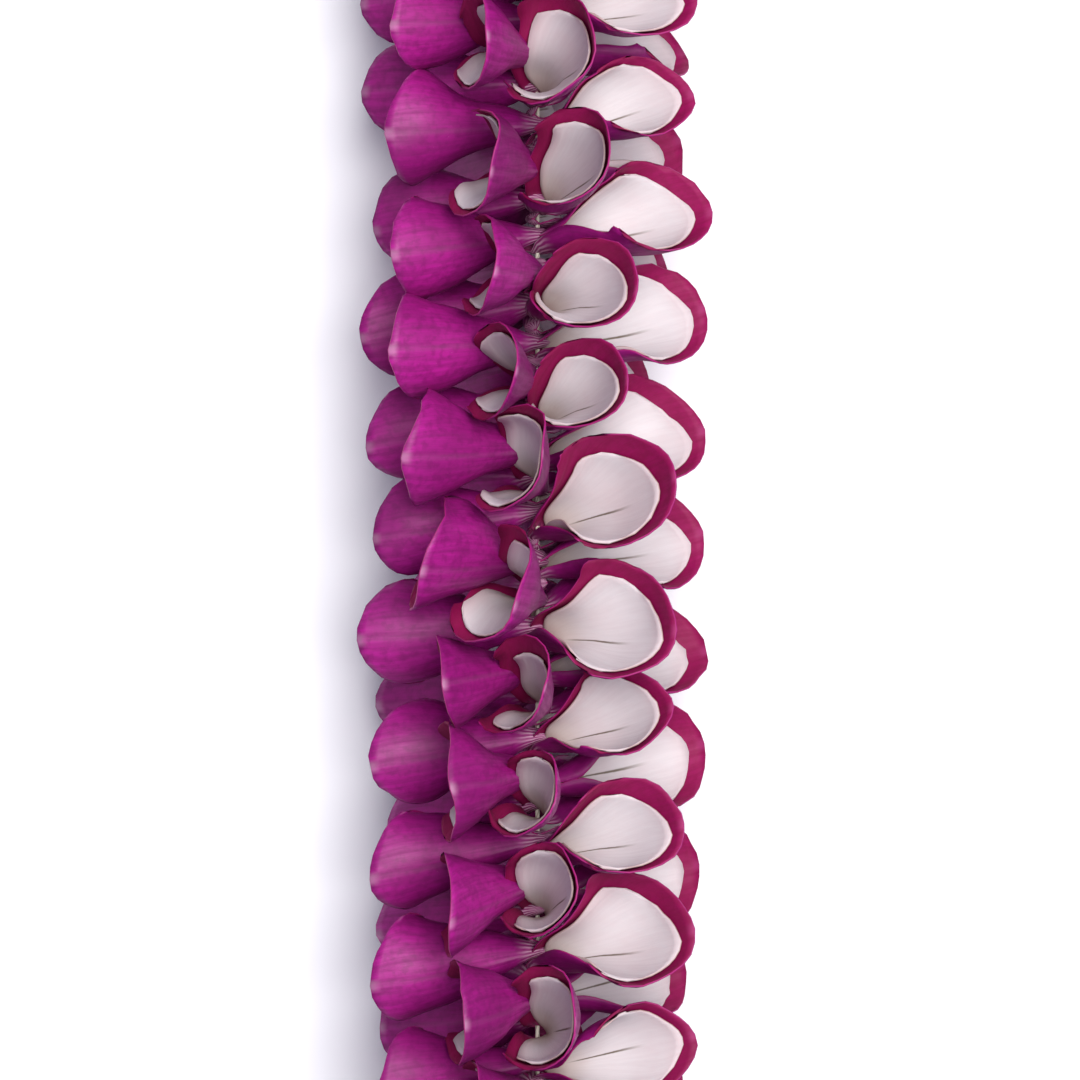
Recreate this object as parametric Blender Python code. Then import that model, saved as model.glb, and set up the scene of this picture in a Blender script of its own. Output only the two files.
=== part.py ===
"""Fresh flower lei: a closed loop of nested petal pairs threaded on one string.

Each pair is a folded magenta orchid petal with a white petal nested in its hollow. The pairs are threaded
through their claws one after another, each turned by the same angle from the last, so that eight slowly
twisting columns of petals stand out all round the string. The string's ends meet in a knot. The lei lies
on a flat surface as a loop with two straight sides, and the petals under it are pressed flat.

Metres, +Z up. The origin is at the centre of the loop, on the surface that the lei lies on.
"""

import math

import bmesh
import bpy
from mathutils import Vector

# Driving dimensions, in metres
PAIRS = 377
PAIR_STEP = 0.0027  # along the string, from one claw to the next
LAPS = 142  # whole turns that the pairs make round the string on their way round the loop
PAIRS_PER_ROUND = 8
FIRST_AZIMUTH = math.radians(310.5)
KNOT_GAP = 0.005  # bare string at the knot
BEND_RADIUS = 0.080  # of the string, round each end of the loop

CLAW_RADIUS = 0.0040  # outside of the bunched claws
BORE_RADIUS = 0.0022
ROUND_GAP = 0.0003
STRING_RADIUS = 0.0005
KNOT_RADIUS = 0.0016
TAIL_LENGTH = 0.011
TAIL_RADIUS = 0.0004
TAIL_SPREAD = math.radians(9)

PRESS_START = 0.028  # the petals press flat from here down, below the string
PRESS_DEPTH = 0.003

# A pair's cross-sections, each corner as (out from the string, along it, towards the pair's front).
# The claws are one up to the waist, and the magenta and the white blade part there.
WAIST = {
    "edge": (0.0125, 0.0052, 0.0015),
    "flank": (0.0120, 0.0030, -0.0022),
    "keel": (0.0120, 0.0, -0.0036),
    "fold": (0.0120, 0.0, -0.0024),
    "hollow": (0.0125, 0.0, -0.0010),
}
MAGENTA_MOUTH = {
    "edge": (0.0275, 0.0102, 0.0035),
    "flank": (0.0318, 0.0062, -0.0048),
    "keel": (0.0330, 0.0, -0.0088),
    "fold": (0.0322, 0.0, -0.0076),
}
WHITE_MOUTH = {
    "edge": (0.0250, 0.0085, 0.0042),
    "fold": (0.0295, 0.0, -0.0060),
    "hollow": (0.0290, 0.0, -0.0044),
}
BOTH = (("edge", -1), ("flank", -1), ("keel", 0), ("flank", 1), ("edge", 1), ("hollow", 0))
MAGENTA = (("edge", -1), ("flank", -1), ("keel", 0), ("flank", 1), ("edge", 1), ("fold", 0))
WHITE = (("edge", -1), ("fold", 0), ("edge", 1), ("hollow", 0))

COLUMNS = 8
COLUMN_ANGLE = 2 * math.pi / COLUMNS
COLUMNS_PER_STEP = 3  # each pair goes three columns round from the last
LOOP_LENGTH = PAIRS * PAIR_STEP + KNOT_GAP
STRAIGHT = LOOP_LENGTH / 2 - math.pi * BEND_RADIUS
TURN_PER_PAIR = 2 * math.pi * LAPS / PAIRS
DRIFT = (TURN_PER_PAIR * PAIRS_PER_ROUND) % (2 * math.pi) / (PAIRS_PER_ROUND * PAIR_STEP)
STRING_POINTS = 66


def clear_scene():
    for obj in list(bpy.data.objects):
        bpy.data.objects.remove(obj, do_unlink=True)


def make_material(name, color, roughness):
    material = bpy.data.materials.new(name)
    material.use_nodes = True
    shader = material.node_tree.nodes["Principled BSDF"]
    shader.inputs["Base Color"].default_value = (*color, 1)
    shader.inputs["Roughness"].default_value = roughness
    shader.inputs["Metallic"].default_value = 0
    return material


def string_at(along):
    """(point, direction across the string towards the loop's centre, bend radius or None)."""
    quarter = math.pi * BEND_RADIUS / 2
    along %= LOOP_LENGTH
    if along < quarter:
        angle, middle = -math.pi / 2 - along / BEND_RADIUS, -STRAIGHT / 2
    elif along < quarter + STRAIGHT:
        return Vector((-BEND_RADIUS, along - quarter - STRAIGHT / 2, 0)), Vector((1, 0, 0)), None
    elif along < 3 * quarter + STRAIGHT:
        angle, middle = math.pi - (along - quarter - STRAIGHT) / BEND_RADIUS, STRAIGHT / 2
    elif along < 3 * quarter + 2 * STRAIGHT:
        down = along - 3 * quarter - STRAIGHT
        return Vector((BEND_RADIUS, STRAIGHT / 2 - down, 0)), Vector((-1, 0, 0)), None
    else:
        angle, middle = -(along - 3 * quarter - 2 * STRAIGHT) / BEND_RADIUS, -STRAIGHT / 2
    outward = Vector((math.cos(angle), math.sin(angle), 0))
    return Vector((0, middle, 0)) + BEND_RADIUS * outward, -outward, BEND_RADIUS


def pressed(height):
    """The height of a point once the surface below has pressed it up."""
    drop = -height - PRESS_START
    return height if drop <= 0 else -PRESS_START - PRESS_DEPTH * math.tanh(drop / PRESS_DEPTH)


def place(across, up, along, reach=0.0):
    """A point beside the string, drifted round with its column, in world space.

    reach is how far along the string it stands from its own claw. On the outside of a bend the pairs
    keep their width and fan apart; on the inside they are squeezed together.
    """
    turn = FIRST_AZIMUTH - DRIFT * (along + reach)
    across, up = (
        across * math.cos(turn) + up * math.sin(turn),
        up * math.cos(turn) - across * math.sin(turn),
    )
    bend = string_at(along)[2]
    if bend:
        reach /= max(1.0, 1 - across / bend)
    point, inward, _ = string_at(along + reach)
    return point + across * inward + Vector((0, 0, pressed(up)))


def pair_along(index):
    return KNOT_GAP / 2 + (index + 0.5) * PAIR_STEP


def column_of(index):
    return -COLUMNS_PER_STEP * index % COLUMNS


def section(bm, cut, corners, column, along):
    """The corners of one cross-section of a pair, by name and side."""
    azimuth = column * COLUMN_ANGLE
    made = {}
    for name, side in corners:
        out, reach, front = cut[name]
        across = out * math.sin(azimuth) - front * math.cos(azimuth)
        up = out * math.cos(azimuth) + front * math.sin(azimuth)
        made[name, side] = bm.verts.new(place(across, up, along, side * reach))
    return made


def ring(made, corners):
    return [made[corner] for corner in corners]


def blade(bm, waist, cut, corners, column, along):
    mouth = ring(section(bm, cut, corners, column, along), corners)
    loft(bm, ring(waist, corners), mouth)
    bm.faces.new(mouth)


def loft(bm, lower, upper):
    for k in range(len(lower)):
        j = (k + 1) % len(lower)
        bm.faces.new((lower[k], lower[j], upper[j], upper[k]))


def sleeve_ring(bm, radius, along):
    """Corners between the columns. Corner k is the front corner of column k."""
    corners = []
    for k in range(COLUMNS):
        azimuth = (k - 0.5) * COLUMN_ANGLE
        across, up = radius * math.sin(azimuth), radius * math.cos(azimuth)
        corners.append(bm.verts.new(place(across, up, along)))
    return corners


def petal_round(first, count):
    """Pairs first, first + 1, ... as one solid: their bunched claws round the string, and their blades."""
    bm = bmesh.new()
    start = KNOT_GAP / 2 + first * PAIR_STEP + ROUND_GAP / 2
    end = start + count * PAIR_STEP - ROUND_GAP
    low, middle, high = (sleeve_ring(bm, CLAW_RADIUS, s) for s in (start, (start + end) / 2, end))
    bore_low, bore_high = (sleeve_ring(bm, BORE_RADIUS, s) for s in (start, end))
    loft(bm, bore_low, bore_high)
    loft(bm, bore_low, low)
    loft(bm, bore_high, high)
    pair_in = {column_of(i): i for i in range(first, first + count)}
    for column in range(COLUMNS):
        k = (column + 1) % COLUMNS
        claw = (low[column], low[k], middle[k], high[k], high[column], middle[column])
        if column not in pair_in:
            bm.faces.new(claw)
            continue
        along = pair_along(pair_in[column])
        waist = section(bm, WAIST, (*BOTH, ("fold", 0)), column, along)
        loft(bm, claw, ring(waist, BOTH))
        blade(bm, waist, MAGENTA_MOUTH, MAGENTA, column, along)
        blade(bm, waist, WHITE_MOUTH, WHITE, column, along)
    bmesh.ops.recalc_face_normals(bm, faces=bm.faces)
    bmesh.ops.triangulate(bm, faces=bm.faces)
    return bm


def add_object(name, bm, material, collection):
    mesh = bpy.data.meshes.new(name)
    bm.to_mesh(mesh)
    bm.free()
    mesh.materials.append(material)
    obj = bpy.data.objects.new(name, mesh)
    collection.objects.link(obj)
    return obj


def petal_rounds(material, collection):
    rounds = PAIRS // PAIRS_PER_ROUND
    for k in range(rounds):
        bm = petal_round(k * PAIRS_PER_ROUND, PAIRS_PER_ROUND)
        add_object(f"petal_round_{k + 1:02d}", bm, material, collection)
    left_over = PAIRS - rounds * PAIRS_PER_ROUND
    bm = petal_round(rounds * PAIRS_PER_ROUND, left_over)
    add_object("petal_pair_last", bm, material, collection)


def tube(name, points, radius, material, collection):
    curve = bpy.data.curves.new(name, "CURVE")
    curve.dimensions = "3D"
    curve.bevel_depth = radius
    curve.bevel_resolution = 1
    curve.use_fill_caps = True
    spline = curve.splines.new("POLY")
    spline.points.add(len(points) - 1)
    for control, point in zip(spline.points, points, strict=True):
        control.co = (*point, 1)
    curve.materials.append(material)
    obj = bpy.data.objects.new(name, curve)
    collection.objects.link(obj)
    return obj


def string(material, collection):
    """From one side of the knot, round the loop through every claw, to the knot's other side."""
    ends = KNOT_RADIUS + ROUND_GAP
    run = LOOP_LENGTH - 2 * ends
    points = [place(0, 0, ends + run * k / (STRING_POINTS - 1)) for k in range(STRING_POINTS)]
    return tube("string", points, STRING_RADIUS, material, collection)


def tail(side):
    """A closed tube from inside the knot out between two columns of petals."""
    azimuth = (0.5 + COLUMNS // 2) * COLUMN_ANGLE + side * TAIL_SPREAD
    bm = bmesh.new()
    bmesh.ops.create_cone(
        bm, cap_ends=True, segments=6, radius1=TAIL_RADIUS, radius2=TAIL_RADIUS, depth=TAIL_LENGTH
    )
    inner = place(0, 0, 0)
    outer = place(TAIL_LENGTH * math.sin(azimuth), TAIL_LENGTH * math.cos(azimuth), 0)
    turn = (outer - inner).to_track_quat("Z", "Y").to_matrix().to_4x4()
    turn.translation = (inner + outer) / 2
    bmesh.ops.transform(bm, matrix=turn, verts=bm.verts)
    return bm


def join_with_boolean(obj, cutter):
    modifier = obj.modifiers.new("joined", "BOOLEAN")
    modifier.operation = "UNION"
    modifier.object = cutter
    cutter.hide_render = True
    cutter.display_type = "WIRE"


def knot(material, collection, helpers):
    bm = bmesh.new()
    bmesh.ops.create_uvsphere(bm, u_segments=10, v_segments=6, radius=KNOT_RADIUS)
    bmesh.ops.translate(bm, verts=bm.verts, vec=place(0, 0, 0))
    obj = add_object("knot", bm, material, collection)
    for k, side in enumerate((-1, 1)):
        join_with_boolean(obj, add_object(f"knot_tail_{k + 1}", tail(side), material, helpers))
    return obj


def settle(collections):
    """Lift the lei onto the surface and centre it over the origin."""
    bpy.context.view_layer.update()
    low, high = Vector((1, 1, 1)), Vector((-1, -1, -1))
    for obj in collections[0].objects:
        for corner in obj.bound_box:
            for axis in range(3):
                low[axis] = min(low[axis], corner[axis])
                high[axis] = max(high[axis], corner[axis])
    shift = Vector((-(low.x + high.x) / 2, -(low.y + high.y) / 2, -low.z))
    for collection in collections:
        for obj in collection.objects:
            obj.location = shift


clear_scene()
lei = bpy.data.collections.new("flower_lei")
helpers = bpy.data.collections.new("helpers")
for group in (lei, helpers):
    bpy.context.scene.collection.children.link(group)
petal = make_material("petal", (0.45, 0.02, 0.30), 0.42)
cotton = make_material("string", (0.85, 0.83, 0.78), 0.80)
petal_rounds(petal, lei)
string(cotton, lei)
knot(cotton, lei, helpers)
settle((lei, helpers))
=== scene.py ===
"""Fresh flower lei: magenta orchid petals, a white one nested in each, threaded on a knotted string."""

import math

import bpy
import numpy as np
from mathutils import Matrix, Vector
from mathutils.bvhtree import BVHTree


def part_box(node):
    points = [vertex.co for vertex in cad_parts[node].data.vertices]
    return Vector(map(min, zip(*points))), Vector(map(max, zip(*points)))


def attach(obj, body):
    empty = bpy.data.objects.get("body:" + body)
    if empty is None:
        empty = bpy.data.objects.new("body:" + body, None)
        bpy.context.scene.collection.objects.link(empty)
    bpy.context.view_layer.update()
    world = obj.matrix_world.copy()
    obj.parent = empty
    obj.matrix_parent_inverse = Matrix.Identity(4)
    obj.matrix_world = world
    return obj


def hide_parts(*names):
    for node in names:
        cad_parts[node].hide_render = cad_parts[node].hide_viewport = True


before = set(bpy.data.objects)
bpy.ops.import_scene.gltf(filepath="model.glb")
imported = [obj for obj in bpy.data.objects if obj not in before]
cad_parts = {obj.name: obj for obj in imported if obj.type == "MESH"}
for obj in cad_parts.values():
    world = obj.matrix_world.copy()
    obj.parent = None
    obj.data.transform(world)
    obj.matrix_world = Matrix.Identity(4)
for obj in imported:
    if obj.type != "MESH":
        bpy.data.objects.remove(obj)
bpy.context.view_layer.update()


# ---- The string
# One cotton thread runs through every claw and round the whole lei. Its course is that of the solid
# string: two straight sides, and a half circle at each end.
string_low, string_high = (np.array(corner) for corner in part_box("string"))
string_width = string_high[2] - string_low[2]
string_height = (string_high[2] + string_low[2]) / 2
bend_radius = (string_high[0] - string_low[0] - string_width) / 2
loop_centre = np.array(((string_low[0] + string_high[0]) / 2, (string_low[1] + string_high[1]) / 2))
straight = string_high[1] - string_low[1] - string_width - 2 * bend_radius
loop_length = 2 * (straight + math.pi * bend_radius)
quarter = math.pi * bend_radius / 2


def string_course(along):
    """Points of the string, directions across it towards the loop's middle, and which are on a bend."""
    along = np.mod(along, loop_length)
    ends = (quarter, quarter + straight, 3 * quarter + straight, 3 * quarter + 2 * straight)
    stretch = np.searchsorted(ends, along, side="right")
    start = np.array((0.0, *ends))[stretch]
    swept = (along - start) / bend_radius
    angle = np.choose(stretch, (-math.pi / 2 - swept, math.pi, math.pi - swept, 0, -swept))
    outward = np.stack((np.cos(angle), np.sin(angle)), axis=-1)
    run = np.choose(
        stretch,
        (
            -straight / 2,
            along - start - straight / 2,
            straight / 2,
            straight / 2 - along + start,
            -straight / 2,
        ),
    )
    point = bend_radius * outward + loop_centre
    point[..., 1] += run
    return point, -outward, np.isin(stretch, (0, 2, 4))


def deselect_all():
    for obj in bpy.context.selected_objects:
        obj.select_set(False)


def mesh_points(mesh):
    points = np.empty(len(mesh.vertices) * 3)
    mesh.vertices.foreach_get("co", points)
    return points.reshape(-1, 3)


def corner_vertices(mesh):
    """The vertex at each corner of each face, in the UV map's order."""
    corners = np.empty(len(mesh.loops), dtype=int)
    mesh.loops.foreach_get("vertex_index", corners)
    return corners


# The thread itself: two twisted plies, drawn out as one fluted tube.
THREAD_RADIUS = string_width / 2
THREAD_SIDES = 10
THREAD_STEP = 0.0008  # between the rings of the tube
PLY_TURN = 0.0060  # one turn of the plies round each other


def thread(name, centres, radii, start=0.0):
    """A grid wrapped round a line of centres, fluted by its two plies, and closed at both ends."""
    deselect_all()
    bpy.ops.mesh.primitive_grid_add(x_subdivisions=len(centres) - 1, y_subdivisions=THREAD_SIDES, size=2)
    obj = bpy.context.object
    obj.name = name
    mesh = obj.data
    flat = mesh_points(mesh)
    ring = np.rint((flat[:, 0] + 1) / 2 * (len(centres) - 1)).astype(int)
    around = np.rint((flat[:, 1] + 1) / 2 * THREAD_SIDES) / THREAD_SIDES
    angle = around * 2 * math.pi
    steps = np.diff(centres, axis=0)
    lengths = start + np.concatenate(((0,), np.cumsum(np.linalg.norm(steps, axis=1))))
    runs = np.vstack((steps, steps[-1:]))
    runs /= np.linalg.norm(runs, axis=1)[:, None]
    # carry one direction across the thread all along it, so that nothing kinks
    across = np.empty_like(centres)
    side = np.cross(runs[0], (0.1, 0.2, 1.0))
    for k, run in enumerate(runs):
        side = side - run * np.dot(side, run)
        side /= np.linalg.norm(side)
        across[k] = side
    lift = np.cross(runs, across)
    turned_by = 2 * math.pi * lengths / PLY_TURN
    radius = radii[ring] * (0.86 + 0.14 * np.abs(np.cos(angle - turned_by[ring])))
    points = centres[ring] + radius[:, None] * (
        np.cos(angle)[:, None] * across[ring] + np.sin(angle)[:, None] * lift[ring]
    )
    mesh.vertices.foreach_set("co", points.ravel())
    places = np.column_stack((lengths[ring] / PLY_TURN, around))[corner_vertices(mesh)]
    mesh.uv_layers[0].uv.foreach_set("vector", places.ravel())
    bpy.ops.object.mode_set(mode="EDIT")
    bpy.ops.mesh.select_all(action="SELECT")
    bpy.ops.mesh.remove_doubles(threshold=1e-6)
    bpy.ops.mesh.fill_holes(sides=0)
    bpy.ops.mesh.select_all(action="SELECT")
    bpy.ops.mesh.normals_make_consistent(inside=False)
    bpy.ops.object.mode_set(mode="OBJECT")
    bpy.ops.object.shade_smooth_by_angle(angle=math.radians(60))
    return obj


class Nodes:
    """Short words for the nodes that a surface is mixed from."""

    def __init__(self, name):
        self.material = bpy.data.materials.new(name)
        self.material.use_nodes = True
        self.tree = self.material.node_tree
        self.shader = self.tree.nodes["Principled BSDF"]

    def add(self, kind, inputs=None, **settings):
        made = self.tree.nodes.new(kind)
        for name, value in settings.items():
            setattr(made, name, value)
        for name, value in (inputs or {}).items():
            self.put(made.inputs[name], value)
        return made

    def put(self, socket, value):
        if isinstance(value, bpy.types.NodeSocket):
            self.tree.links.new(value, socket)
        else:
            socket.default_value = value

    def math(self, operation, a, b=0.0):
        return self.add("ShaderNodeMath", {0: a, 1: b}, operation=operation).outputs[0]

    def ramp(self, value, low, high, start=0.0, end=1.0):
        """value from low to high becomes start to end, smoothly."""
        made = self.add("ShaderNodeMapRange", {"Value": value}, interpolation_type="SMOOTHSTEP")
        for name, setting in (("From Min", low), ("From Max", high), ("To Min", start), ("To Max", end)):
            made.inputs[name].default_value = setting
        return made.outputs[0]

    def mix(self, share, a, b):
        made = self.add("ShaderNodeMix", data_type="RGBA")
        self.put(made.inputs[0], share)
        self.put(made.inputs[6], a if isinstance(a, bpy.types.NodeSocket) else (*a, 1))
        self.put(made.inputs[7], b if isinstance(b, bpy.types.NodeSocket) else (*b, 1))
        return made.outputs[2]

    def noise(self, vector, scale, detail=3.0, rough=0.55):
        made = self.add(
            "ShaderNodeTexNoise",
            {"Vector": vector, "Scale": scale, "Detail": detail, "Roughness": rough},
        )
        return made.outputs["Fac"]

    def bump(self, height, distance, strength=1.0):
        made = self.add("ShaderNodeBump", {"Height": height, "Distance": distance, "Strength": strength})
        self.put(self.shader.inputs["Normal"], made.outputs[0])


def cotton_surface():
    """Unbleached cotton, with fibres slanting round each ply, and painted shade where the two plies meet."""
    n = Nodes("cotton")
    uv = n.add("ShaderNodeUVMap", uv_map="UVMap").outputs[0]
    parts = n.add("ShaderNodeSeparateXYZ", {0: uv}).outputs
    slant = n.math("MULTIPLY", n.math("SUBTRACT", parts[1], parts[0]), 2.0)
    ply = n.math("ABSOLUTE", n.math("COSINE", n.math("MULTIPLY", slant, math.pi)))
    fibre_run = n.math("ADD", n.math("MULTIPLY", parts[1], 40.0), n.math("MULTIPLY", parts[0], 90.0))
    fibre_start = n.math("MULTIPLY", parts[0], 6.0)
    fibre_place = n.add("ShaderNodeCombineXYZ", {0: fibre_run, 1: fibre_start, 2: 0.0})
    fibres = n.noise(fibre_place.outputs[0], 1.0, 3.0, 0.7)
    # painted shade in the grooves where the two plies meet; the pale colour is the cotton's own
    color = n.mix(n.ramp(ply, 0.05, 0.5), (0.30, 0.26, 0.19), (0.74, 0.70, 0.60))
    color = n.mix(n.ramp(fibres, 0.35, 0.7, 0.0, 0.4), color, (0.50, 0.45, 0.36))
    n.put(n.shader.inputs["Base Color"], color)
    n.shader.inputs["Roughness"].default_value = 0.9
    n.shader.inputs["Sheen Weight"].default_value = 0.3
    n.bump(n.math("ADD", ply, n.math("MULTIPLY", fibres, 0.4)), 0.0001)
    return n.material


cotton = cotton_surface()
KNOT_GAP = 0.005  # where the two ends come out of the petals to be tied
thread_places = np.arange(KNOT_GAP / 2, loop_length - KNOT_GAP / 2, THREAD_STEP)
thread_places = np.append(thread_places, loop_length - KNOT_GAP / 2)
level = string_course(thread_places)[0]
course = np.column_stack((level, np.full(len(level), string_height)))
string = thread("string_thread", course, np.full(len(course), THREAD_RADIUS), KNOT_GAP / 2)
string.data.materials.append(cotton)
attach(string, "root")
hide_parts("string")


# ---- The petals
# A pair is a waxy magenta orchid petal folded into a half-cone by its narrow claw, with a smaller, softer
# white petal nested in its hollow. Each is a thin sheet bent by the same rule, the white one just inside.
# The string runs through their claws, and pair after pair turns on round it in a spiral.
PETAL_REACH = 0.0335  # from the string to the magenta tip
CLAW_END = -0.0032  # the claw is pierced, and its end stands out on the string's other side
PETAL_THICKNESS = 0.0003
WHITE_LIFT = 0.0009  # how far inside its magenta petal a white one lies
PAIRS = 377
SPIRAL_TURNS = 142  # that the pairs make round the string on their way round the loop
VARIANTS = 12  # shapes of each colour
pair_step = (loop_length - KNOT_GAP) / PAIRS
turn_per_pair = 2 * math.pi * SPIRAL_TURNS / PAIRS
first_azimuth = math.radians(314.5)


def smooth(low, high, x):
    x = np.clip((x - low) / (high - low), 0, 1)
    return x * x * (3 - 2 * x)


class Fold:
    """How one pair is folded: a point of the flat petal goes to a place on the half-cone."""

    def __init__(self, random):
        self.random = random
        self.tightness = random.uniform(0.85, 1.03)
        self.waves = random.uniform(0, 2 * math.pi, 4)
        self.wave_size = random.uniform(0.0003, 0.0009)
        self.recurve = random.uniform(-0.0020, 0.0030)
        self.bulge = random.uniform(0.0002, 0.0022)
        self.crease = random.uniform(0.14, 0.30)
        self.crease_end = random.uniform(0.55, 0.78)

    def radius(self, out):
        """Of the half-cone's arc: a narrow neck past the claw, then a flare towards the mouth."""
        shares = (0, 0.06, 0.15, 0.3, 0.45, 0.6, 0.85, 1)
        radii = (0.3, 2.7, 3.3, 4.8, 6.3, 8.1, 10.8, 12.1)
        return np.interp(out, shares, radii) / 1000 / self.tightness

    def bend(self, out, across, lift):
        """out: share of the way from claw to tip. across: metres from the midrib. lift: off the surface."""
        radius = self.radius(out)
        # the fold along the midrib starts past the claw, whose edges all but meet
        crease = self.crease * smooth(0.12, 0.36, out)
        crease *= 1 - smooth(self.crease_end - 0.3, self.crease_end, out)
        width = np.abs(across)
        tilt = crease + width / radius
        # walk out from the midrib along the arc
        reach = radius * (np.sin(tilt) - np.sin(crease))
        rise = radius * (np.cos(crease) - np.cos(tilt))
        side = np.where(across < 0, -1.0, 1.0)
        # the midrib runs back as the half-cone widens, so that its middle points straight out from the string
        midrib = 0.0005 - 1.05 * radius * self.tightness
        midrib -= self.bulge * np.sin(math.pi * out) + self.recurve * smooth(0.7, 1.1, out)
        along = side * reach
        front = midrib + rise
        # lifted inwards off the surface, and straight up out of the fold at the midrib
        beside = smooth(0, 0.0016, width)
        along -= side * lift * np.sin(tilt) * beside
        front += lift * (np.cos(tilt) * beside + (1 - beside) / np.cos(crease))
        # the edges and the tip are wavy
        edge = (width / 0.016) ** 2
        wave = self.wave_size * edge * np.sin(4.4 * out * math.pi + self.waves[0] + side * self.waves[1])
        wave += self.wave_size * smooth(0.75, 1.0, out) * np.sin(330 * across + self.waves[2])
        along -= side * wave * np.sin(tilt)
        front += wave * np.cos(tilt)
        # the claws are squeezed flat by their neighbours along the string
        along *= 0.5 + 0.5 * smooth(0.08, 0.34, out)
        return np.stack((CLAW_END + (PETAL_REACH - CLAW_END) * out, along, front), axis=-1)


def petal_sheet(name, fold, outline, lift, columns, rows, nicks):
    """A flat grid, cut to the petal's outline, smoothed once and then folded."""
    deselect_all()
    bpy.ops.mesh.primitive_grid_add(x_subdivisions=rows, y_subdivisions=columns, size=2)
    obj = bpy.context.object
    obj.name = name
    mesh = obj.data
    flat = mesh_points(mesh)
    share, side = (flat[:, 0] + 1) / 2, flat[:, 1]
    out, across = outline(share, side)
    mesh.vertices.foreach_set("co", np.stack((out, across, across * 0), axis=-1).ravel())
    modifier = obj.modifiers.new("smooth", "SUBSURF")
    modifier.levels = modifier.render_levels = 1
    bpy.ops.object.modifier_apply(modifier=modifier.name)
    flat = mesh_points(mesh)
    # nick the margin: a little at random, only on the outermost vertices
    places = np.empty(len(mesh.loops) * 2)
    mesh.uv_layers[0].uv.foreach_get("vector", places)
    uv = np.empty((len(mesh.vertices), 2))
    uv[corner_vertices(mesh)] = places.reshape(-1, 2)
    share, side = uv[:, 0], 2 * uv[:, 1] - 1
    margin = smooth(0.9, 1.0, np.maximum(np.abs(side) * smooth(0.45, 0.75, share), share))
    nick = nicks * margin * fold.random.normal(size=len(share))
    across = flat[:, 1] * (1 - nick * 40)
    out = flat[:, 0] - np.abs(nick) * 22 * smooth(0.85, 1.0, share)
    mesh.vertices.foreach_set("co", fold.bend(out, across, lift).ravel())
    return obj


def outline_of(fold, random, wraps, start, size, corner, point, shift):
    """The petal's edge: how far its sides wrap round along its length, and how its end is rounded."""
    lopsided = random.uniform(-0.07, 0.07)
    more = random.uniform(0.93, 1.07)
    ragged = random.uniform(0, 2 * math.pi, 3)
    shares, angles = zip(*wraps, strict=True)

    def outline(share, side):
        half = fold.radius(share * size) * more * np.radians(np.interp(share, shares, angles))
        half *= 1 + 0.022 * np.sin(13 * share + ragged[0] + np.sign(side) * ragged[1])
        # the end is cut back in a round at its corners, is a little uneven, and may have a small point
        short = corner * share**3 * np.abs(side) ** 1.8
        short += 0.008 * share**4 * np.sin(7 * side + ragged[2])
        tip = point * share**6 * np.exp(-((side / 0.12) ** 2))
        across = side * half * (1 + lopsided * side) + shift * smooth(0.15, 0.6, share)
        return size * (start + (1 - start) * share - short + tip), across

    return outline


# how far each side wraps round from the midrib, in degrees, at shares of the petal's length
MAGENTA_WRAPS = (
    (0, 150), (0.12, 168), (0.2, 158), (0.32, 138),
    (0.5, 122), (0.75, 106), (0.9, 98), (1, 82),
)
WHITE_WRAPS = (
    (0, 110), (0.12, 140), (0.2, 140), (0.32, 130),
    (0.5, 119), (0.75, 105), (0.9, 95), (1, 66),
)


def magenta_outline(fold, random):
    corner, point = random.uniform(0.26, 0.34), random.uniform(0.0, 0.02)
    return outline_of(fold, random, MAGENTA_WRAPS, 0.0, random.uniform(0.96, 1.04), corner, point, 0.0)


def white_outline(fold, random):
    corner, size = random.uniform(0.21, 0.29), random.uniform(0.87, 0.94)
    shift = random.uniform(-0.0022, 0.0002)
    return outline_of(fold, random, WHITE_WRAPS, 0.09, size, corner, 0.015, shift)


def thicken(obj):
    deselect_all()
    obj.select_set(True)
    bpy.context.view_layer.objects.active = obj
    modifier = obj.modifiers.new("thickness", "SOLIDIFY")
    modifier.thickness = PETAL_THICKNESS
    modifier.offset = 1
    modifier.material_offset = 1
    modifier.material_offset_rim = 2
    bpy.ops.object.modifier_apply(modifier=modifier.name)


random = np.random.default_rng(11)
magenta_petals, white_petals = [], []
for k in range(VARIANTS):
    fold = Fold(random)
    outline = magenta_outline(fold, random)
    magenta_petals.append(petal_sheet(f"magenta_{k}", fold, outline, 0.0, 8, 9, 0.00035))
    outline = white_outline(fold, random)
    white_petals.append(petal_sheet(f"white_{k}", fold, outline, WHITE_LIFT, 8, 8, 0.0003))


# Petal surfaces. u runs from the claw to the tip, and v across, with the midrib at a half.
def petal_place(n):
    """Share of the way to the tip, share from midrib to edge, the veins' place, and the place in the lei."""
    uv = n.add("ShaderNodeUVMap", uv_map="UVMap").outputs[0]
    parts = n.add("ShaderNodeSeparateXYZ", {0: uv}).outputs
    side = n.math("ABSOLUTE", n.math("MULTIPLY", n.math("SUBTRACT", parts[1], 0.5), 2.0))
    place = n.add("ShaderNodeTexCoord").outputs["Object"]
    wander = n.noise(place, 240.0, 2.0)
    lengthways = n.math("MULTIPLY", parts[0], 2.2)
    crossways = n.math("MULTIPLY", parts[1], 34.0)
    wandering = n.math("MULTIPLY", wander, 0.25)
    veins = n.add("ShaderNodeCombineXYZ", {0: lengthways, 1: wandering, 2: crossways})
    return parts[0], side, veins.outputs[0], place


def claw_pleats(n, place):
    """The gathered claw's narrow pleats, which run lengthways: 0 in a groove, 1 on a ridge. They make the
    bumps, and the painted shade in the grooves.
    """
    uv = n.add("ShaderNodeUVMap", uv_map="UVMap").outputs[0]
    across = n.add("ShaderNodeSeparateXYZ", {0: uv}).outputs[1]
    around = n.math("MULTIPLY_ADD", across, 90.0)
    n.put(around.node.inputs[2], n.math("MULTIPLY", n.noise(place, 240.0, 2.0), 5.0))
    return n.ramp(n.math("SINE", around), -0.7, 0.7)


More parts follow.
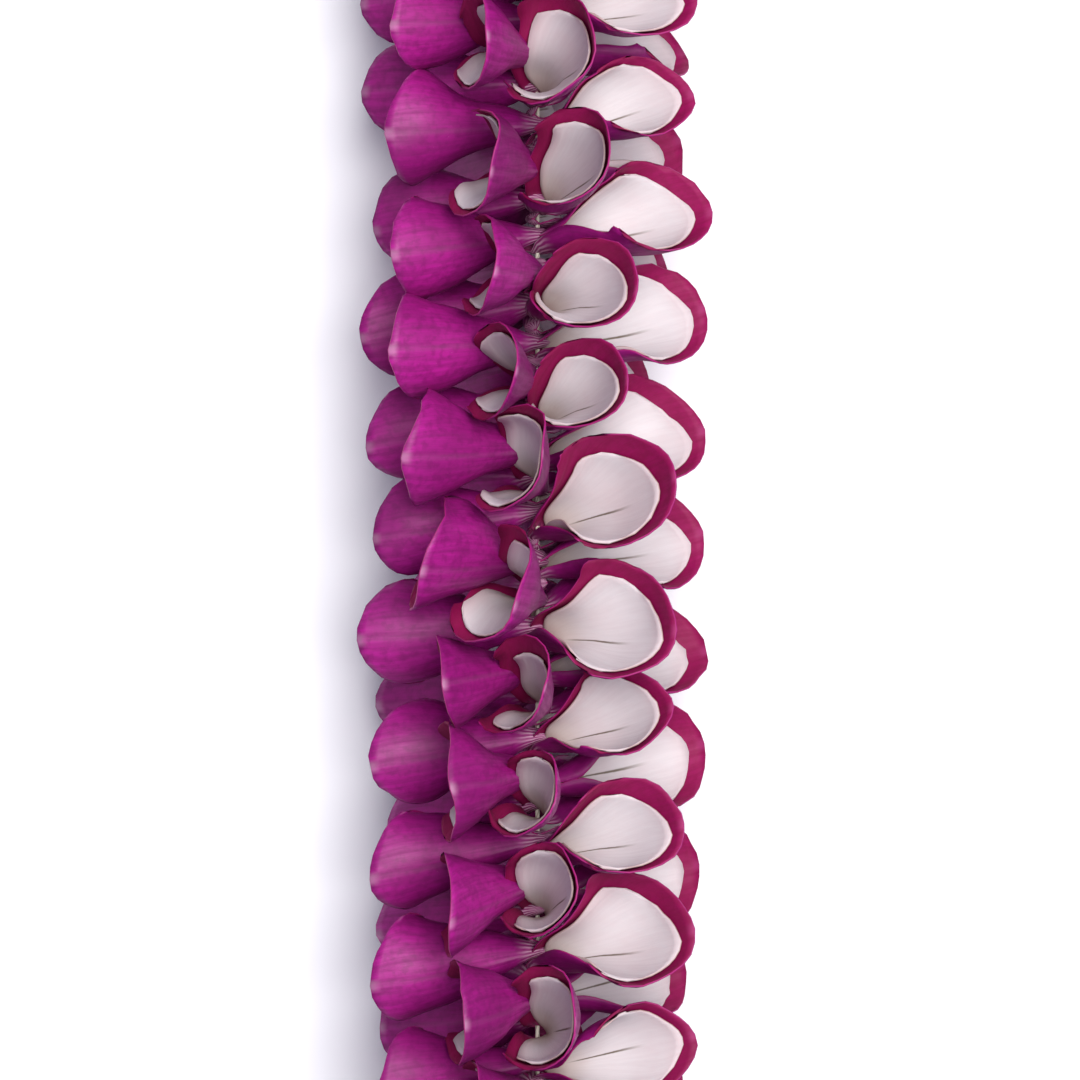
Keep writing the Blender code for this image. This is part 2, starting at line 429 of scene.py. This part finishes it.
def magenta_surface(name, deep, bright, pale_and_highlight, roughness, base_share):
    """Waxy petal: veined and mottled, paler towards the claw, with painted shade towards the margins and in
    the claw's pleats, and painted highlights along the midrib, at the tip and in short streaks on the veins.
    """
    n = Nodes(name)
    along, side, veins, place = petal_place(n)
    pleats = claw_pleats(n, place)
    striped = n.noise(veins, 1.0, 4.0, 0.7)
    patches = n.noise(place, 45.0, 3.0)
    color = n.mix(n.ramp(striped, 0.2, 0.85, 0.25, 0.85), deep, bright)
    color = n.mix(n.ramp(patches, 0.35, 0.70, 0.0, 0.55), color, deep)
    color = n.mix(n.ramp(n.noise(place, 650.0, 3.0), 0.4, 0.7, 0.0, 0.45), color, deep)
    # painted shade: darker towards the margins than along the middle
    color = n.mix(n.ramp(side, 0.35, 1.0, 0.0, 0.4), color, deep)
    # painted highlight: a pale streak along the midrib, strongest near the claw
    midrib = n.math("MULTIPLY", n.ramp(side, 0.005, 0.05, 1.0, 0.0), n.ramp(along, 0.2, 0.45, 0.20, 0.03))
    color = n.mix(midrib, color, pale_and_highlight)
    # painted highlight: a small pale spot at the tip
    tip = n.math("MULTIPLY", n.ramp(side, 0.02, 0.09, 1.0, 0.0), n.ramp(along, 0.93, 1.0))
    color = n.mix(n.math("MULTIPLY", tip, 0.35), color, pale_and_highlight)
    # towards the claw the petal turns its own pale pink on the pleats' ridges, with painted shade in their
    # grooves
    base = n.ramp(along, 0.10, base_share, 0.75, 0.0)
    color = n.mix(base, color, n.mix(pleats, (0.24, 0.04, 0.14), pale_and_highlight))
    # painted highlights: short pale glints along the veins
    vein_glint_places = n.add("ShaderNodeVectorMath", {0: veins, 1: (14.0, 1.0, 5.0)}, operation="MULTIPLY").outputs[0]
    vein_glints = n.math("MULTIPLY", n.ramp(n.noise(vein_glint_places, 1.0, 1.0), 0.74, 0.80), n.ramp(striped, 0.5, 0.6))
    color = n.mix(n.math("MULTIPLY", vein_glints, 0.3), color, pale_and_highlight)
    n.put(n.shader.inputs["Base Color"], color)
    n.put(n.shader.inputs["Roughness"], n.ramp(striped, 0.3, 0.7, roughness + 0.06, roughness - 0.06))
    n.shader.inputs["Specular IOR Level"].default_value = 0.32
    n.shader.inputs["Subsurface Weight"].default_value = 0.06
    n.shader.inputs["Subsurface Radius"].default_value = (1.0, 0.25, 0.6)
    n.shader.inputs["Subsurface Scale"].default_value = 0.0006
    n.bump(n.math("ADD", n.math("MULTIPLY", striped, 0.5), n.math("MULTIPLY", pleats, base)), 0.00025, 0.6)
    return n.material


def white_surface(name, body, shade, edge_tint):
    """Soft white petal: faint veins, a warm edge and base, and painted shade in the fold along the midrib."""
    n = Nodes(name)
    along, side, veins, place = petal_place(n)
    striped = n.noise(veins, 1.0, 4.0, 0.6)
    patches = n.noise(place, 60.0, 3.0)
    color = n.mix(n.ramp(striped, 0.35, 0.7, 0.0, 0.35), body, shade)
    color = n.mix(n.ramp(patches, 0.45, 0.75, 0.0, 0.35), color, edge_tint)
    color = n.mix(n.ramp(side, 0.72, 1.0, 0.0, 0.75), color, edge_tint)
    color = n.mix(n.ramp(along, 0.84, 1.0, 0.0, 0.5), color, edge_tint)
    color = n.mix(n.ramp(along, 0.16, 0.40, 0.5, 0.0), color, (0.50, 0.40, 0.35))
    color = n.mix(n.ramp(along, 0.05, 0.22, 0.7, 0.0), color, (0.36, 0.24, 0.22))
    # painted shade in the fold along the midrib, from past the claw to beyond the middle
    fold_shade = n.ramp(side, 0.008, 0.030, 1.0, 0.0)
    fold_shade = n.math("MULTIPLY", fold_shade, n.ramp(along, 0.50, 0.76, 1.0, 0.0))
    fold_shade = n.math("MULTIPLY", fold_shade, n.ramp(along, 0.16, 0.30, 0.0, 0.9))
    color = n.mix(fold_shade, color, (0.10, 0.07, 0.035))
    n.put(n.shader.inputs["Base Color"], color)
    n.shader.inputs["Roughness"].default_value = 0.55
    n.shader.inputs["Specular IOR Level"].default_value = 0.35
    n.shader.inputs["Subsurface Weight"].default_value = 0.2
    n.shader.inputs["Subsurface Radius"].default_value = (1.0, 0.7, 0.7)
    n.shader.inputs["Subsurface Scale"].default_value = 0.0008
    n.bump(striped, 0.00015, 0.5)
    return n.material


def plain_material(name, color, roughness):
    material = bpy.data.materials.new(name)
    material.use_nodes = True
    shader = material.node_tree.nodes["Principled BSDF"]
    shader.inputs["Base Color"].default_value = (*color, 1)
    shader.inputs["Roughness"].default_value = roughness
    return material


PALE_PINK = (0.62, 0.36, 0.50)
magenta_back = magenta_surface(
    "magenta_back",
    deep=(0.14, 0.002, 0.08),
    bright=(0.50, 0.012, 0.30),
    pale_and_highlight=PALE_PINK,
    roughness=0.52,
    base_share=0.22,
)
magenta_front = magenta_surface(
    "magenta_front",
    deep=(0.19, 0.0, 0.045),
    bright=(0.33, 0.001, 0.105),
    pale_and_highlight=(0.45, 0.06, 0.22),
    roughness=0.68,
    base_share=0.18,
)
magenta_rim = plain_material("magenta_rim", (0.33, 0.004, 0.14), 0.6)
white_back = white_surface("white_back", (0.54, 0.50, 0.52), (0.45, 0.39, 0.42), (0.52, 0.39, 0.42))
white_front = white_surface("white_front", (0.63, 0.585, 0.60), (0.53, 0.47, 0.49), (0.58, 0.45, 0.47))
white_rim = plain_material("white_rim", (0.48, 0.35, 0.34), 0.65)
for petals, materials in (
    (magenta_petals, (magenta_front, magenta_back, magenta_rim)),
    (white_petals, (white_front, white_back, white_rim)),
):
    for petal in petals:
        for material in materials:
            petal.data.materials.append(material)
        thicken(petal)
        bpy.ops.object.shade_smooth()


PRESS_START = 0.028  # a petal that would reach further below the string is pressed flat on the ground
PRESS_DEPTH = 0.003


def pressed(height):
    drop = np.maximum(-height - PRESS_START, 0)
    low = -PRESS_START - PRESS_DEPTH * np.tanh(drop / PRESS_DEPTH)
    return np.where(height > -PRESS_START, height, low)


def lay_on_string(petal_points, azimuth, along):
    """Points of a petal as (out, along the string, front), stood on the string at this angle."""
    out, reach, front = petal_points.T
    across = out * math.sin(azimuth) - front * math.cos(azimuth)
    up = out * math.cos(azimuth) + front * math.sin(azimuth)
    if string_course(np.array([along]))[2][0]:
        reach = reach / np.maximum(1, 1 - across / bend_radius)
    point, inward, _ = string_course(along + reach)
    level = point + across[:, None] * inward
    return np.column_stack((level, string_height + pressed(up)))


def turned(points, roll, lean):
    """Rolled about its own length, then leant along the string."""
    out, along, front = points.T
    along, front = (
        along * math.cos(roll) + front * math.sin(roll),
        front * math.cos(roll) - along * math.sin(roll),
    )
    out, along = (
        out * math.cos(lean) - along * math.sin(lean),
        along * math.cos(lean) + out * math.sin(lean),
    )
    return np.column_stack((out, along, front))


def stood(petal, pose):
    """The petal's points, where this pose puts them on the string."""
    points = turned(mesh_points(petal.data) * pose["size"], pose["roll"], pose["lean"])
    return lay_on_string(points, pose["azimuth"], pose["along"])


def drawn_pose(k, random):
    """How pair k sits. Each is a little different, and those near the top lie over to the outer side."""
    azimuth = first_azimuth - turn_per_pair * k + math.radians(random.normal(0, 3.5))
    # those near the top fall in a bell-shaped share round a point a little to the loop's inner side
    from_top = math.remainder(azimuth - math.radians(12), 2 * math.pi)
    near_top = math.exp(-((from_top / math.radians(35)) ** 2))
    azimuth -= math.radians(14) * near_top
    return {
        "kind": int(random.integers(VARIANTS)),
        "size": random.uniform(0.94, 1.04),
        "roll": math.radians(random.normal(11, 8)),
        "lean": math.radians(random.normal(3 + 13 * math.sin(azimuth) + 14 * near_top, 4)),
        "azimuth": azimuth,
        "along": KNOT_GAP / 2 + (k + 0.5) * pair_step + random.normal(0, 0.0006),
    }


# Petals lie against each other without cutting in, so of a few poses each pair takes the one that cuts
# least into the pairs strung near it that point most nearly its way.
NEIGHBOURS = (2, 3, 5, 8)  # how many pairs back those are
POSES_TRIED = 8
faces = {}
for petal in magenta_petals + white_petals:
    faces[petal.name] = [tuple(face.vertices) for face in petal.data.polygons]
poses, strung = [], []
for k in range(PAIRS):
    random = np.random.default_rng(500 + k)
    fewest_cuts = math.inf
    for _ in range(POSES_TRIED):
        pose = drawn_pose(k, random)
        pair = []
        for kinds in (magenta_petals, white_petals):
            petal = kinds[pose["kind"]]
            pair.append(BVHTree.FromPolygons(stood(petal, pose).tolist(), faces[petal.name]))
        near = [strung[k - back] for back in NEIGHBOURS if k >= back]
        cuts = sum(len(petal.overlap(other)) for petal in pair for others in near for other in others)
        if cuts < fewest_cuts:
            fewest_cuts, best_pose, best_pair = cuts, pose, pair
        if cuts == 0:
            break
    poses.append(best_pose)
    strung.append(best_pair)


def joined(pieces, name):
    deselect_all()
    for piece in pieces:
        piece.select_set(True)
    bpy.context.view_layer.objects.active = pieces[0]
    bpy.ops.object.join()
    bpy.context.object.name = name
    return bpy.context.object


def string_petals(name, first, count, kinds, node_name):
    """One round of petals of one colour: each a copy of one of its kinds, laid on the string."""
    copies = []
    for k in range(first, first + count):
        petal = kinds[poses[k]["kind"]]
        copy = bpy.data.objects.new(name, petal.data.copy())
        bpy.context.scene.collection.objects.link(copy)
        copy.data.vertices.foreach_set("co", stood(petal, poses[k]).ravel())
        copies.append(copy)
    piece = joined(copies, name)
    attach(piece, "root")
    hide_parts(node_name)


ROUND = 8  # pairs in a round
full_rounds = PAIRS // ROUND
rounds = [(f"petal_round_{k + 1:02d}", ROUND * k, ROUND) for k in range(full_rounds)]
rounds.append(("petal_pair_last", ROUND * full_rounds, 1))
for node_name, first, count in rounds:
    string_petals(f"magenta_{node_name}", first, count, magenta_petals, node_name)
    string_petals(f"white_{node_name}", first, count, white_petals, node_name)
for petal in magenta_petals + white_petals:
    bpy.data.objects.remove(petal)


# ---- The knot
# The cotton string's two ends are tied with a blood knot: each runs through the middle, turns back, is
# wound round both, and comes out as a short cut tail that is tucked down between the petals.
TAIL_LENGTH = 0.011
TAIL_AZIMUTH = math.radians(202.5)  # downwards and a little to the loop's outer side, between two petals
TAIL_SPREAD = math.radians(12)  # to each side, so that the two tails part
TIED_RADIUS = 0.00042  # the thread is pulled thinner in the knot
END_POINTS = 150  # along each tied end
WOUND_POINTS = 30  # along the turns of one


def tied_end(side, tail_azimuth):
    """Centres of the end that comes from this side, -1 or 1: (along, across, up) from the knot's middle."""
    core = 0.0004
    wind_radius = 0.00118
    come = [
        (side * KNOT_GAP / 2, 0, 0),
        (side * 0.0019, side * core / 2, 0),
        (side * 0.0012, side * core, 0),
        (-side * 0.0008, side * core, 0),
        (-side * 0.0016, side * core, 0.0001),
    ]
    leave = math.pi / 2 - tail_azimuth
    turns = np.linspace(leave - 3.1 * math.pi, leave - 0.25 * math.pi, WOUND_POINTS)
    places = np.linspace(0.0017, 0.0004, WOUND_POINTS)
    grow = np.minimum(1, np.linspace(0.55, 2.2, WOUND_POINTS)) * wind_radius
    wound = np.column_stack((-side * places, grow * np.cos(turns), grow * np.sin(turns)))
    tail_runs = np.array((0.0017, 0.0024, 0.004, 0.006, 0.008, TAIL_LENGTH))
    swing = 0.12 * math.pi
    bend = leave - swing + swing * (tail_runs / TAIL_LENGTH) ** 0.5
    drift = -side * (0.0004 + 0.0012 * (tail_runs / TAIL_LENGTH) ** 2)
    tail = np.column_stack((drift, tail_runs * np.cos(bend), tail_runs * np.sin(bend)))
    return np.vstack((come, wound, tail))


def drawn_smooth(points, count):
    """Evenly spaced points on a soft curve through these."""
    for _ in range(3):
        inner = np.repeat(points, 2, axis=0)[1:-1]
        quarter_points = 0.75 * inner[0::2] + 0.25 * inner[1::2]
        three_quarter_points = 0.25 * inner[0::2] + 0.75 * inner[1::2]
        cut = np.stack((quarter_points, three_quarter_points), axis=1).reshape(-1, 3)
        points = np.vstack((points[:1], cut, points[-1:]))
    lengths = np.concatenate(((0,), np.cumsum(np.linalg.norm(np.diff(points, axis=0), axis=1))))
    even = np.linspace(0, lengths[-1], count)
    return np.column_stack([np.interp(even, lengths, column) for column in points.T])


before, middle, after = string_course(np.array((-0.001, 0.0, 0.001)))[0]
knot_run = (after - before) / np.linalg.norm(after - before)
knot_inward = string_course(np.array([0.0]))[1][0]
tied_ends = []
for side in (-1, 1):
    centres = drawn_smooth(tied_end(side, TAIL_AZIMUTH + side * TAIL_SPREAD), END_POINTS)
    level = middle + centres[:, :1] * knot_run + centres[:, 1:2] * knot_inward
    # as thick as the string where it leaves it, and a little frayed at the cut
    swell = np.interp(np.linspace(0, 1, END_POINTS), (0, 0.08, 0.6, 0.93, 1), (1.19, 1, 1, 1, 1.25))
    end = thread("tied_end", np.column_stack((level, string_height + centres[:, 2])), swell * TIED_RADIUS)
    end.data.materials.append(cotton)
    tied_ends.append(end)
knot = joined(tied_ends, "knot_tied")
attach(knot, "root")
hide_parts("knot")


# ---- Floor, light and camera
# A plain pale floor, a pale blue studio round it, and one soft light high up beyond the loop's middle. The
# camera looks straight down on one of the two straight sides.
deselect_all()
bpy.ops.mesh.primitive_plane_add(size=6, location=(0, 0, -0.0002))
floor = bpy.context.object
floor.name = "floor"
floor.data.materials.append(plain_material("floor", (0.95, 0.955, 0.99), 0.9))

world = bpy.data.worlds.new("studio")
bpy.context.scene.world = world
world.use_nodes = True
world.node_tree.nodes["Background"].inputs["Color"].default_value = (0.80, 0.80, 1.0, 1)
world.node_tree.nodes["Background"].inputs["Strength"].default_value = 0.43

view_centre = Vector((loop_centre[0] - bend_radius + 0.0005, loop_centre[1] + 0.003, string_height))
light = bpy.data.lights.new("overhead", "AREA")
light.shape = "DISK"
light.size = 0.9
light.energy = 21.5
light.color = (1, 0.98, 0.96)
lamp = bpy.data.objects.new("overhead", light)
lamp.location = (0.20, 0.22, 1.2)
lamp.rotation_euler = (view_centre - lamp.location).to_track_quat("-Z", "Y").to_euler()
bpy.context.scene.collection.objects.link(lamp)

camera = bpy.data.objects.new("camera", bpy.data.cameras.new("camera"))
bpy.context.scene.collection.objects.link(camera)
bpy.context.scene.camera = camera
CAMERA_HEIGHT = 0.80
VIEW_WIDTH = 0.216
camera.data.lens = 36 * CAMERA_HEIGHT / VIEW_WIDTH
camera.data.clip_start = 0.01
camera.location = view_centre + Vector((0, 0, CAMERA_HEIGHT))
camera.rotation_euler = (0, 0, 0)
bpy.context.scene.view_settings.view_transform = "Standard"
